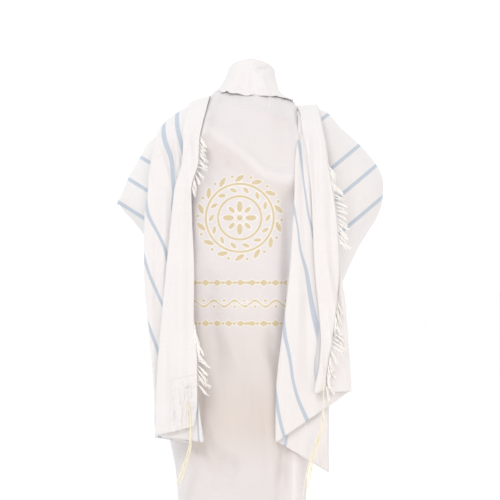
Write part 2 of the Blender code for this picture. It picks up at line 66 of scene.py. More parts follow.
def along(stations, values, at):
    """The values at these places on a smooth curve through the stations, which never overshoots them."""
    stations, values = np.asarray(stations, float), np.asarray(values, float)
    if stations[0] > stations[-1]:
        stations, values = stations[::-1], values[::-1]
    at = np.clip(at, stations[0], stations[-1])
    steps = np.diff(stations)
    slopes = np.diff(values) / steps
    before, after = slopes[:-1], slopes[1:]
    level = before * after <= 0
    inner = np.where(level, 0.0, 2 * before * after / np.where(level, 1.0, before + after))
    tangents = np.concatenate([slopes[:1], inner, slopes[-1:]])
    i = np.clip(np.searchsorted(stations, at, side="right") - 1, 0, len(steps) - 1)
    t = (at - stations[i]) / steps[i]
    return (
        (2 * t**3 - 3 * t**2 + 1) * values[i]
        + (t**3 - 2 * t**2 + t) * steps[i] * tangents[i]
        + (3 * t**2 - 2 * t**3) * values[i + 1]
        + (t**3 - t**2) * steps[i] * tangents[i + 1]
    )


def rounded(turn, power):
    """Sine and cosine of an angle on a squared-off circle, whose corners are fuller as power grows."""
    s, c = np.sin(turn), np.cos(turn)
    return np.sign(s) * np.abs(s) ** (2 / power), np.sign(c) * np.abs(c) ** (2 / power)


def fold_lift(folds, x, z):
    """How far soft ridges and troughs push the cloth out.

    Each is a line's start and end in x and z, a width, a height and, unless the line is straight, how far
    its middle bows: all in millimetres.
    """
    lift = np.zeros(np.shape(x))
    for fold in folds:
        x0, z0, x1, z1, width, height, *bows = np.array(fold) / 1000
        bow = sum(bows)
        run_x, run_z = x1 - x0, z1 - z0
        length = math.hypot(run_x, run_z)
        t = ((x - x0) * run_x + (z - z0) * run_z) / length**2
        off = ((x - x0) * run_z - (z - z0) * run_x) / length - 4 * bow * t * (1 - t)
        ends = ease((t + 0.25) / 0.5) * ease((1.25 - t) / 0.5)
        lift += height * ends * np.exp(-((off / width) ** 2))
    return lift


def unevenness(x, z, seed, across, down, height):
    """The slight waviness of hanging cloth, as overlapping waves of about these lengths."""
    chance = np.random.default_rng(seed)
    total = np.zeros(np.shape(x))
    for _ in range(9):
        turns_across = chance.uniform(0.6, 1.7) / across
        turns_down = chance.uniform(-1.2, 1.2) / down
        start = chance.uniform(0, math.tau)
        total += np.sin(math.tau * (turns_across * x + turns_down * z) + start)
    return height * total / 3


def linear(tint):
    """The linear colour of an sRGB hex value."""
    parts = [int(tint[i : i + 2], 16) / 255 for i in (0, 2, 4)]
    return [p / 12.92 if p <= 0.04045 else ((p + 0.055) / 1.055) ** 2.4 for p in parts] + [1.0]


def feed(node, inputs):
    """Gives each input a value, or links it to the output of another node."""
    for name, value in inputs.items():
        if isinstance(value, bpy.types.NodeSocket):
            node.id_data.links.new(value, node.inputs[name])
        else:
            node.inputs[name].default_value = value


def add_node(tree, kind, inputs=None, **settings):
    """Adds one shader node."""
    node = tree.nodes.new("ShaderNode" + kind)
    for name, value in settings.items():
        setattr(node, name, value)
    feed(node, inputs or {})
    return node


def maths(tree, operation, *numbers):
    return add_node(tree, "Math", dict(enumerate(numbers)), operation=operation).outputs[0]


def ramp(tree, value, start, end, at_start, at_end):
    """A value that goes from at_start to at_end while the one that feeds it goes from start to end."""
    ends = {"From Min": start, "From Max": end, "To Min": at_start, "To Max": at_end}
    return add_node(tree, "MapRange", {"Value": value, **ends}).outputs[0]


def toned(tree, share, under, over, blend="MIX"):
    """The share of one colour over another. Each is an sRGB hex value or the output of another node."""
    under, over = (linear(tone) if isinstance(tone, str) else tone for tone in (under, over))
    inputs = {"Factor": share, "A": under, "B": over}
    return add_node(tree, "Mix", inputs, data_type="RGBA", blend_type=blend).outputs[2]


def noise(tree, place, scale, detail):
    inputs = {"Vector": place, "Scale": scale, "Detail": detail}
    return add_node(tree, "TexNoise", inputs).outputs["Fac"]


def stored(tree, name):
    """A value that the mesh holds for each point."""
    return add_node(tree, "Attribute", attribute_name=name).outputs["Fac"]


def bumped(tree, height, strength, distance):
    inputs = {"Strength": strength, "Distance": distance, "Height": height}
    return add_node(tree, "Bump", inputs).outputs[0]


def new_material(name):
    """A material, its node tree, the surface in it, and the place of a point on the piece."""
    made = bpy.data.materials.new(name)
    made.use_nodes = True
    tree = made.node_tree
    return made, tree, tree.nodes["Principled BSDF"], add_node(tree, "TexCoord").outputs["Object"]


# A wave texture of scale 1 repeats after this many metres.
WAVE_REPEAT = 0.314
# From one woven stripe's middle to the next, and how far from it a stripe's soft edge begins and ends.
STRIPE_STEP = 0.075
STRIPE_EDGE = (0.0048, 0.0058)
# Midway between two stripes: the place for cloth that has none.
NO_STRIPE = STRIPE_STEP / 2


def woven_wool(name, worn, clean, striped=False, printed=False):
    """Fine wool, plain-woven and brushed: matt, a little fuzzy, with slightly uneven threads."""
    made, tree, surface, place = new_material(name)
    threads = add_node(tree, "UVMap", uv_map="Threads").outputs["UV"]
    # Weft threads are 0.5 mm apart on the real cloth. They are drawn 3 mm apart, so that they show.
    weft, warp = (
        add_node(tree, "TexWave", {
            "Vector": threads, "Scale": WAVE_REPEAT / apart, "Distortion": uneven,
            "Detail": 1.0, "Detail Scale": 0.6,
        }, bands_direction=way).outputs["Fac"]
        for apart, uneven, way in ((0.003, 1.2, "Y"), (0.0036, 1.0, "X"))
    )
    weave = maths(tree, "MULTIPLY", weft, warp)
    # Thicker stretches of yarn, some 4 mm high and 70 mm long, lie along the weft.
    stretched = add_node(tree, "Mapping", {"Vector": threads, "Scale": (14, 240, 1)}).outputs[0]
    slubs = noise(tree, stretched, 1.0, 3.0)
    height = maths(tree, "MULTIPLY_ADD", slubs, 0.55, weave)
    roughness = 0.9
    # Wool takes the light a little unevenly over a hand's width, from wear and washing.
    colour = toned(tree, noise(tree, place, 7.0, 4.0), worn, clean)
    colour = toned(tree, 1.0, colour, ramp(tree, slubs, 0.3, 0.7, 0.98, 1.0), "MULTIPLY")
    if striped:
        # Each stripe is a band of pale blue weft, 10.6 mm wide. Cloth that is marked as plain has none.
        off = maths(tree, "PINGPONG", stored(tree, "stripe_place"), STRIPE_STEP / 2)
        strength = maths(tree, "SUBTRACT", 1.0, stored(tree, "plain_here"))
        blue = toned(tree, slubs, "B6C0CC", "BFC9D5")
        colour = toned(tree, ramp(tree, off, *STRIPE_EDGE, strength, 0.0), colour, blue)
    if printed:
        # The print lies on the threads as a thin, slightly raised and glossier skin, worn in places.
        depth = stored(tree, "print_distance")
        ink = ramp(tree, depth, -0.0008, 0.0008, 1.0, 0.0)
        cover = maths(tree, "MULTIPLY", ink, ramp(tree, slubs, 0.25, 0.6, 0.80, 1.0))
        # Painted shade darkens the wool to a warm grey where the mesh says so, and a painted highlight makes
        # it paler along the crests of two folds.
        colour = toned(tree, stored(tree, "painted_shade"), colour, "D4CAC2")
        colour = toned(tree, stored(tree, "crest"), colour, "F4F1F0")
        # A fine white line of ground ink shows round each shape.
        colour = toned(tree, ramp(tree, depth, 0.0012, 0.0030, 0.5, 0.0), colour, "F6F3F1")
        colour = toned(tree, cover, colour, "D0C19C")
        roughness = ramp(tree, cover, 0.0, 1.0, 0.9, 0.55)
        height = maths(tree, "MULTIPLY_ADD", ink, 0.8, height)
    feed(surface, {
        "Base Color": colour, "Normal": bumped(tree, height, 0.35, 0.0005), "Roughness": roughness,
        "Specular IOR Level": 0.2, "Sheen Weight": 0.25, "Sheen Roughness": 0.5,
    })
    return made


def add_object(name, data):
    made = bpy.data.objects.new(name, data)
    bpy.context.scene.collection.objects.link(made)
    return made


def lay_cloth(name, across, down, place, finish, wall=0.0012, rolled=False, lining=None):
    """A flat grid moved into place as cloth, by a function of how far across and down it a point is.

    The function gives the points, their place along the weft and the warp in metres, and named values.
    A rolled sheet is joined along its sides and closed at its lower end. A lining is the inner face's finish.
    """
    shape = bmesh.new()
    bmesh.ops.create_grid(shape, x_segments=across, y_segments=down, size=1)
    mesh = bpy.data.meshes.new(name)
    shape.to_mesh(mesh)
    shape.free()
    flat = np.empty(len(mesh.vertices) * 3)
    mesh.vertices.foreach_get("co", flat)
    flat = flat.reshape(-1, 3)
    points, weave, values = place((flat[:, 0] + 1) / 2, (1 - flat[:, 1]) / 2)
    mesh.vertices.foreach_set("co", np.column_stack(points).ravel())
    corners = np.empty(len(mesh.loops), int)
    mesh.loops.foreach_get("vertex_index", corners)
    threads = mesh.uv_layers.new(name="Threads")
    threads.data.foreach_set("uv", np.column_stack(weave)[corners].ravel())
    for label, numbers in values.items():
        held = mesh.attributes.new(label, "FLOAT", "POINT")
        held.data.foreach_set("value", numbers.astype(np.float32))
    if rolled:
        shape = bmesh.new()
        shape.from_mesh(mesh)
        bmesh.ops.remove_doubles(shape, verts=shape.verts, dist=0.00001)
        bmesh.ops.recalc_face_normals(shape, faces=shape.faces)
        shape.to_mesh(mesh)
        shape.free()
    mesh.materials.append(finish)
    mesh.shade_smooth()
    made = add_object(name, mesh)
    thick = made.modifiers.new("Wall", "SOLIDIFY")
    thick.thickness = wall
    thick.offset = 0.0
    thick.use_even_offset = True
    thick.use_quality_normals = True
    if lining:
        mesh.materials.append(lining)
        thick.material_offset = 1
    return made


SIDES = ("left", "right")
# The pouch that an arm carries, ring by ring from its mouth to the elbow.
ARMS = both_sides(("top_x", "top_z", "bottom_x", "bottom_z", "back_y", "front_y"), [
    (-168, -44, -216, -500, -118, 92),
    (-196, -50, -238, -490, -124.5, 112),
    (-236, -79, -279, -453, -120, 146),
    (-271, -113, -312, -415, -107, 180),
    (-303, -138, -333, -388, -92, 203),
    (-331, -188, -353, -364, -72, 206),
    (-360, -238, -375, -341, -46, 190),
    (-385, -298, -390, -322, -14, 148),
    (-395, -314, -396, -321, 20, 110),
], [
    (168, -88, 196, -606, -118, 92),
    (190, -34.9, 214, -604, -124, 112),
    (228, -48.3, 244, -588, -121, 146),
    (268, -90, 273, -553, -110, 182),
    (311, -128, 296, -503, -94, 203),
    (346, -163, 322, -450, -76, 206),
    (376, -201, 352, -401, -52, 190),
    (393, -236, 379, -357, -22, 152),
    (397, -262, 392, -322, 16, 112),
])
BACK_DEPTH = table(("height", "back_y"), [
    (12, -80), (0, -98.5), (-14, -107.5), (-32, -116), (-60, -125), (-110, -133),
    (-200, -139), (-350, -142), (-600, -145), (-900, -149), (-1300, -152),
])
BACK_SIDES = both_sides(("height", "end_x", "end_y"), [
    (12, -102, -46), (2, -112, -48), (-10, -122, -50), (-24, -141, -54), (-44, -162, -60),
    (-500, -226, -112), (-530, -238, -88), (-570, -250, -26), (-640, -258, 46), (-800, -252, 58),
    (-1000, -229, 52), (-1120, -209, 44), (-1300, -199, 38),
], [
    (12, 62, -46), (2, 92, -46), (-20, 128, -48), (-44, 142, -62), (-60, 147, -70),
    (-74, 151, -76), (-88, 158, -78), (-606, 206, -112), (-640, 214, -85), (-680, 218, -28),
    (-740, 218, 40), (-900, 200, 52), (-1000, 183, 50), (-1120, 163, 42), (-1300, 154, 38),
])
# The heights down the back, and how many degrees it wraps round to each side there.
BACK_WRAP = ([0.012, -0.06, -0.48, -0.64, -1.3], [56, 56, 66, 108, 112])
BACK_TOP, HEM_HEIGHT = 0.012, -1.300
# How far the back's edge laps past an arm's mouth, out along x and out along y.
ARM_LAP = (0.010, 0.0056)
# The line of the long ridge that slants across the top of the back.
LONG_RIDGE = ([-0.123, -0.040, 0.050, 0.125], [-0.105, -0.157, -0.232, -0.250])
# The heights down the back, and how much painted shade darkens the wool to a warm grey at each.
BACK_PAINTED_SHADE = ([-0.5, -0.64, -0.8, -0.95, -1.03, -1.1, -1.3], [0, 0.18, 0.46, 0.68, 0.45, 0.1, 0.05])
BACK_FOLDS = [
    (-114, -10, -146, -145, 21, 26), (126, -30, 144, -140, 18, 24), (-150, -80, -158, -600, 32, 16),
    (142, -110, 136, -270, 28, 16), (-123, -105, -40, -157, 14, 7), (-40, -157, 50, -232, 14, 8),
    (50, -232, 125, -250, 14, 8), (-138, -131, -55, -185, 30, 11), (-55, -185, 34, -258, 30, 11),
    (34, -258, 120, -280, 28, 10), (-110, -150, -96, -220, 20, 11), (110, -310, 108, -600, 20, -15),
    (108, -620, 98, -800, 28, -17), (56, -700, 94, -870, 20, -11), (82, -870, 76, -1000, 16, -5),
    (-92, -665, -14, -817, 22, 8), (-118, -540, -92, -800, 26, -14), (-142, -850, -138, -1000, 12, -8),
    (34, -850, 42, -1010, 24, -8), (-140, -1000, -90, -1076, 24, -20), (-90, -1072, -36, -1086, 24, -20),
    (-165, -1040, -100, -1128, 14, 11), (-100, -1128, -30, -1134, 14, 10), (-20, -1060, 0, -1290, 30, 6),
    (100, -1030, 94, -1130, 14, -14), (90, -1100, 86, -1290, 16, -9), (134, -1040, 128, -1310, 18, 20),
]
# Finer, sharper ones, which lie between them.
BACK_WRINKLES = [
    (-36, -30, 52, -54, 11, 8), (52, -54, 134, -74, 11, 10), (-130, -140, -112, -180, 7, 3),
    (60, -36, 130, -60, 5, 2.6), (95, -72, 142, -83, 5, -3.6), (105, -94, 142, -92, 5, -3),
    (-120, -130, -102, -172, 7, 3), (-65, -172, -56, -216, 7, 4), (-96, 4, -94, -24, 4, 2.6),
    (-86, 2, -85, -30, 4, -2.2), (62, -10, 52, -38, 5, 2.6), (-140, -560, -50, -640, 14, 3),
    (-30, -700, 60, -800, 10, 3.4, -6), (60, -690, 110, -770, 10, -3), (-10, -830, 6, -1060, 8, 6.4),
    (-118, -960, -100, -1040, 8, 3), (40, -940, 60, -1160, 10, -3), (-160, -400, -110, -520, 12, 2),
    (60, -330, 120, -350, 10, 2),
]


def back_side(side, height):
    """Where the back ends at one side: over an arm's mouth where there is one, or as its own table says."""
    rows = BACK_SIDES[side]
    end_x, end_y = (along(rows["height"], rows[name], height) for name in ("end_x", "end_y"))
    ring = {name: numbers[0] for name, numbers in ARMS[side].items()}
    share = (height - ring["bottom_z"]) / (ring["top_z"] - ring["bottom_z"])
    beside_arm = (share > 0) & (share < 1)
    up = np.clip(np.abs(2 * share - 1), 0, 1)
    out = (1 - up**4.0) ** (1 / 4.0)
    middle = (ring["back_y"] + ring["front_y"]) / 2
    reach = (ring["front_y"] - ring["back_y"]) / 2 + ARM_LAP[1]
    mouth_x = mix(ring["bottom_x"], ring["top_x"], share)
    mouth_x = mouth_x + np.sign(mouth_x) * ARM_LAP[0] * ease((ring["top_z"] - height) / 0.08)
    mouth_y = np.minimum(middle - out * reach, end_y)
    return np.where(beside_arm, mouth_x, end_x), np.where(beside_arm, mouth_y, end_y)


# The print's middle and heights, and the radii of the wreath's stem, of its ring of berries and of a dot.
PRINT_X, ROSETTE_Z, BORDERS_Z = -0.030, -0.362, (-0.551, -0.612, -0.670)
STEM_RADIUS, BERRY_RADIUS, DOT_RADIUS = 0.099, 0.122, 0.0046


def gold_print(x, z):
    """The distance from the nearest edge of the print, which is negative inside it."""
    px, pz = x - PRINT_X, z - ROSETTE_Z
    # A rosette of eight petals round a dot, inside a ring and a wreath's stem.
    rings = ((0.0, 0.0085), (0.063, 0.0033), (STEM_RADIUS, 0.0031))
    shapes = [np.abs(np.hypot(px, pz) - reach) - half for reach, half in rings]
    for k in range(8):
        a = math.tau * k / 8
        along_petal = px * math.sin(a) + pz * math.cos(a) - 0.033
        beside = px * math.cos(a) - pz * math.sin(a)
        wide = 0.0082 - 0.0022 * (k % 2)
        shapes.append((np.hypot(along_petal / (2 * wide), beside / wide) - 1) * wide)
    # The wreath: leaves that lean out and in along the stem, with a berry beside each outer one.
    for k in range(14):
        for side, length, width in ((1, 0.0175, 0.0068), (-1, 0.0130, 0.0056)):
            a = math.tau * (k + 0.5 * (side < 0)) / 14
            root = STEM_RADIUS + side * 0.0165
            cx, cz = root * math.sin(a), root * math.cos(a)
            ax, az = math.cos(a - side * 0.60), -math.sin(a - side * 0.60)
            u = ((px - cx) * ax + (pz - cz) * az) / length
            w = np.abs((px - cx) * az - (pz - cz) * ax)
            leaf = (w - width * (1 - np.clip(u, -1, 1) ** 2)) * 0.85
            shapes.append(np.maximum(leaf, (np.abs(u) - 1) * length))
        a = math.tau * (k + 0.60) / 14
        berry_x, berry_z = BERRY_RADIUS * math.sin(a), BERRY_RADIUS * math.cos(a)
        shapes.append(np.hypot(px - berry_x, pz - berry_z) - DOT_RADIUS)
    # Three narrow borders below: lozenges and dots, a wavy line with dots, and lozenges again.
    for row, border_z in enumerate(BORDERS_Z):
        bz = z - border_z
        inside = np.maximum(np.abs(px) - 0.138, np.abs(bz) - 0.022)
        if row == 1:
            wave = 0.0090 * np.sin(math.tau * x / 0.060)
            border = (np.abs(bz - wave) - 0.0034) * 0.75
            dot_x = x % 0.030 - 0.015
            border = np.minimum(border, np.hypot(dot_x, bz + wave) - DOT_RADIUS)
        else:
            border_x = (x + 0.045) % 0.034 - 0.017
            lozenge = np.abs(border_x) * 0.66 + np.abs(bz) * 0.80 - 0.0082
            gap_x = (x + 0.045 + 0.017) % 0.034 - 0.017
            border = np.minimum(lozenge, np.hypot(gap_x, bz) - DOT_RADIUS)
        shapes.append(np.maximum(border, inside))
    return np.minimum.reduce(shapes)


def place_back(u, v):
    # More of the grid's points lie where the print is.
    share = along([0, 0.15, 0.79, 1], [0, 0.177, 0.543, 1], v)
    height = mix(BACK_TOP, HEM_HEIGHT, share)
    t = 2 * u - 1
    across = np.sign(t) * along([0, 0.76, 1], [0, 0.72, 1], np.abs(t))
    middle_y = along(BACK_DEPTH["height"], BACK_DEPTH["back_y"], height)
    wrap = np.radians(along(*BACK_WRAP, height))
    left_x, left_y = back_side("left", height)
    right_x, right_y = back_side("right", height)
    end_x, end_y = np.where(across < 0, left_x, right_x), np.where(across < 0, left_y, right_y)
    power = mix(2.5, 4.0, ease((-0.90 - height) / 0.20))
    end_out, end_back = rounded(wrap, power)
    out, back = rounded(wrap * np.abs(across), power)
    x = end_x * out / end_out
    y = middle_y + (end_y - middle_y) * (1 - back) / (1 - end_back)
    facing_back = ease((-0.04 - y) / 0.05)
    free = ease((0.0 - height) / 0.05) * ease((1 - np.abs(across)) / 0.25)
    y = y - fold_lift(BACK_FOLDS, x, height) * facing_back
    y = y - fold_lift(BACK_WRINKLES, x, height) * ease((1 - np.abs(across)) / 0.12)
    y = y - unevenness(x, height, 5, 0.11, 0.60, 0.0011) * free
    y = y - unevenness(x, height, 8, 0.040, 0.22, 0.00035) * free
    below = along(*LONG_RIDGE, x) - height
    # Painted shade darkens the wool to a warm grey in the hollow under the long ridge too.
    painted_shade = along(*BACK_PAINTED_SHADE, height)
    painted_shade += 0.32 * ease((below - 0.008) / 0.018) * ease((0.105 - below) / 0.07)
    # Painted highlight: the wool is paler just above the long ridge's line, and along the crest of the fold
    # low on the right.
    crest = 0.20 * np.exp(-(((below + 0.003) / 0.0150) ** 2))
    crest += 0.45 * np.exp(-(((x - 0.131) / 0.018) ** 2)) * ease((-1.05 - height) / 0.03)
    aside = ease((0.24 - np.abs(x)) / 0.10)
    return (x, y, height), (x * 1.05, height), {
        "print_distance": gold_print(x, height), "painted_shade": painted_shade * aside, "crest": crest * aside,
    }


# The back's wool is greyer and darker than the same cloth on the arms and ends: painted shade, for the back
# hangs in the hollow between the thrown-back ends.
SHADED_BACK_WOOL = ("DBD7D8", "E2DFE0")
printed_wool = woven_wool("white_wool_plain_woven_printed", *SHADED_BACK_WOOL, printed=True)
unprinted_wool = woven_wool("white_wool_plain_woven_inside", *SHADED_BACK_WOOL)
back = lay_cloth("back_cloth", 196, 248, place_back, printed_wool, lining=unprinted_wool)
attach(back, "root")
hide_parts("back_panel")


# -------------------- the cloth over each arm
# The same cloth, carried out over the bent arms as a hanging pouch with rounded edges. Its woven blue
# stripes run out and down from the shoulder to the elbow.
ARM_FOLDS = {
    "left": [
        (-250, -100, -330, -360, 22, 5), (-320, -200, -370, -310, 18, 4),
        (-290, -170, -380, -290, 12, 3, 6), (-290, -240, -370, -330, 12, -3, 6),
        (-300, -310, -340, -370, 12, 2.5),
    ],
    "right": [
        (240, -100, 330, -400, 26, 6), (300, -150, 270, -500, 24, -5), (210, -70, 360, -200, 12, 3.6, -8),
        (260, -120, 380, -260, 14, -3, -8), (250, -300, 370, -300, 16, 3, -10),
        (260, -330, 250, -520, 12, 4), (310, -360, 280, -500, 12, 3),
    ],
}
# Which way the stripes' offsets are measured in x and z, and the offset of each stripe's middle.
ARM_STRIPES = {
    "left": ((-0.524, -0.851), (0.324, 0.397, 0.471)),
    "right": ((0.640, -0.768), (0.190, 0.319, 0.397, 0.480)),
}


def stripe_place(place, middles):
    """The same place on a scale that has a stripe's middle at each whole multiple of 75 mm."""
    sides = (-0.015, 0.015)
    near = [middle + side for middle in middles for side in sides]
    even = [STRIPE_STEP * k + side for k in range(len(middles)) for side in sides]
    return np.interp(place, near, even)


# By this power the grid's rows lie closer together at the elbow and over the shoulder.
EASING = 1.25
# Where the last rings begin to close up into the rounded end over the elbow, and how far that takes.
ROUND_FROM, ROUND_OVER = 0.985, 0.015


def place_arm(side, u, v):
    where = 1 - (1 - v) ** EASING
    stations = np.linspace(0, 1, len(ARMS[side]["top_x"]))
    ring = {name: along(stations, numbers, where) for name, numbers in ARMS[side].items()}
    out, up = rounded(math.tau * u, 2.5)
    closing = np.sqrt(np.clip(1 - (np.clip(v - ROUND_FROM, 0, 1) / ROUND_OVER) ** 2, 0, 1))
    out, up = out * closing, up * closing
    x, z = (mix(ring["bottom" + axis], ring["top" + axis], (up + 1) / 2) for axis in ("_x", "_z"))
    middle = (ring["back_y"] + ring["front_y"]) / 2
    reach = (ring["front_y"] - ring["back_y"]) / 2
    free = ease(where * 1.6)
    lift = fold_lift(ARM_FOLDS[side], x, z) * out * free
    lift += unevenness(x, z, 11, 0.09, 0.30, 0.0012) * free * out
    (nx, nz), middles = ARM_STRIPES[side]
    offset = nx * x + nz * z
    y = middle - out * reach - lift
    along_stripe = nz * x - nx * z
    return (x, y, z), (offset, along_stripe), {"stripe_place": stripe_place(offset, middles)}


striped_wool = woven_wool("white_wool_plain_woven_striped", "E3E0E0", "E9E7E7", striped=True)
for side, flat in (("left", (0.92, 0.26)), ("right", (1.10, 0.29))):
    arm = lay_cloth(f"arm_cloth_{side}", 150, 112, partial(place_arm, side), striped_wool, rolled=True)
    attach(arm, "root")
    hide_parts(f"{side}_arm_drape")


# -------------------- the ends thrown back
# The two striped ends of the cloth, thrown back over the shoulders. Each hangs in four layers, folded
# like a fan: the fringed edge lies outermost, and the striped layer shows beside it.
FALL_COLUMNS = ("height", "edge", "middle_fold", "tucked_fold", "outer_fold", "inner_end")
FALLS = both_sides(FALL_COLUMNS, [
    (10, -117, -180, -132, -270, -162), (-29, -127, -188, -138, -279, -176),
    (-68, -138, -195, -147, -285, -191), (-118, -147, -194, -156, -290, -206),
    (-191, -150, -199, -160, -294, -215), (-279, -170, -219, -178, -298, -222),
    (-373, -168, -229, -176, -308, -228), (-520, -162, -244, -172, -309, -232),
    (-647, -163, -256, -172, -298, -232), (-779, -153, -267, -163, -286, -232),
    (-897, -153, -273, -150, -278, -226), (-1014, -172, -276, -134, -276, -180),
], [
    (-30, 197, 137, 200, 131, 182), (-60, 203, 148, 206, 141, 185),
    (-91, 209, 151, 212, 141, 188), (-132, 219, 159, 222, 138, 194),
    (-191, 226, 168, 229, 132, 200), (-300, 243, 179, 244, 129, 206),
    (-403, 255, 183, 256, 123, 214), (-520, 259, 189, 265, 115, 220),
    (-603, 252, 197, 276, 106, 224), (-720, 237, 206, 285, 91, 227),
    (-794, 224, 201, 291, 82, 229), (-867, 219, 187, 294, 76, 229),
    (-1014, 219, 187, 294, 74, 229), (-1103, 219, 187, 294, 74, 229),
])
# How low each column ends.
FALL_ENDS = {
    "left": (-0.967, -0.995, -1.014, -1.002, -1.017),
    "right": (-0.860, -0.873, -0.867, -1.014, -1.103),
}
SHOULDERS = both_sides("xz", [
    (-310, -152), (-270, -105), (-235, -69), (-190, -40), (-147, -21), (-104, -10),
], [
    (100, -36), (141, -42), (200, -38), (226, -60), (250, -84), (300, -132),
])
FALL_PATH = table(("behind", "below"), [
    (0, 0), (28, 1), (62, 6), (98, 18), (127, 40),
    (145, 76), (152, 135), (154, 240), (156, 400), (160, 1200),
])
FALL_FOLDS = {
    "left": [
        (-268, -50, -236, -250, 6.5, 6), (-255, -50, -228, -240, 6, -4), (-243, -45, -220, -230, 6, 6.5),
        (-231, -40, -212, -225, 5.5, -4.5), (-220, -35, -206, -220, 5.5, 6), (-285, -120, -262, -330, 9, 4),
        (-268, -280, -272, -620, 12, -5), (-245, -300, -258, -560, 9, 5), (-289, -380, -284, -800, 10, 4.5),
        (-190, -240, -205, -700, 12, 5.5, 4), (-172, -300, -180, -760, 9, -4.5),
        (-215, -420, -232, -900, 14, -5.5), (-250, -700, -245, -1000, 12, 5.5),
        (-180, -60, -170, -220, 8, 4.5), (-163, -80, -158, -200, 6, -3),
        (-207, -870, -196, -990, 7.5, 3.4, 6), (-190, -880, -182, -980, 7, -2.8, 4),
        (-174, -860, -170, -970, 7, 3, -4), (-220, -900, -212, -1000, 6, -4),
        (-165, -850, -235, -868, 5, -2.4),
    ],
    "right": [
        (166, -70, 178, -420, 8, 5), (150, -80, 156, -420, 7, -4), (205, -60, 212, -420, 12, 6),
        (186, -70, 194, -360, 8, -4.5), (232, -240, 238, -560, 9, -4.5), (222, -480, 258, -700, 7, 6),
        (240, -500, 272, -690, 6, -5), (226, -640, 240, -800, 8, 5.5), (214, -700, 222, -850, 6, -4),
        (274, -640, 280, -860, 8, 4.5), (165, -600, 170, -860, 11, -6), (140, -480, 125, -920, 13, 6),
        (108, -800, 98, -1000, 9, -4), (198, -880, 205, -1080, 10, 5), (160, -900, 180, -1060, 9, -4),
    ],
}
# At heights down a fall: how far the outer fold is from the fringed edge along the cloth, and how much
# cloth there is for each metre across. Last is how that share falls off towards the fringed edge.
FALL_CLOTH = {
    "left": ([0.01, -0.014, -0.203, -0.290, -0.338, -0.45, -0.496, -0.691, -0.970, -1.04],
             [0.2285, 0.2338, 0.2754, 0.279, 0.290, 0.350, 0.366, 0.440, 0.515, 0.535],
             [0.85, 0.85, 0.87, 0.80, 0.90, 1.0, 1.05, 1.0, 0.9, 0.9], 0.0),
    "right": ([-0.03, -0.132, -0.27, -0.35, -0.403, -0.52, -0.70, -0.838, -0.958, -1.10],
              [0.17, 0.215, 0.262, 0.29, 0.315, 0.336, 0.367, 0.425, 0.4505, 0.50],
              [1.05, 1.08, 1.88, 1.88, 1.86, 1.00, 0.82, 1.38, 1.07, 1.07], 1.6),
}
FALL_STRIPES = {
    "left": [0.181, 0.2155, 0.290, 0.365, 0.440, 0.515, 0.590, 0.665],
    "right": [0.140 + STRIPE_STEP * k for k in range(9)],
}
# How many faces cross a layer of a thrown-back end and of a front end, and a turn between two layers.
FALL_RUN, TAIL_RUN, TURN = 28, 22, 6


def faces_across(run_faces):
    return 4 * run_faces + 3 * TURN


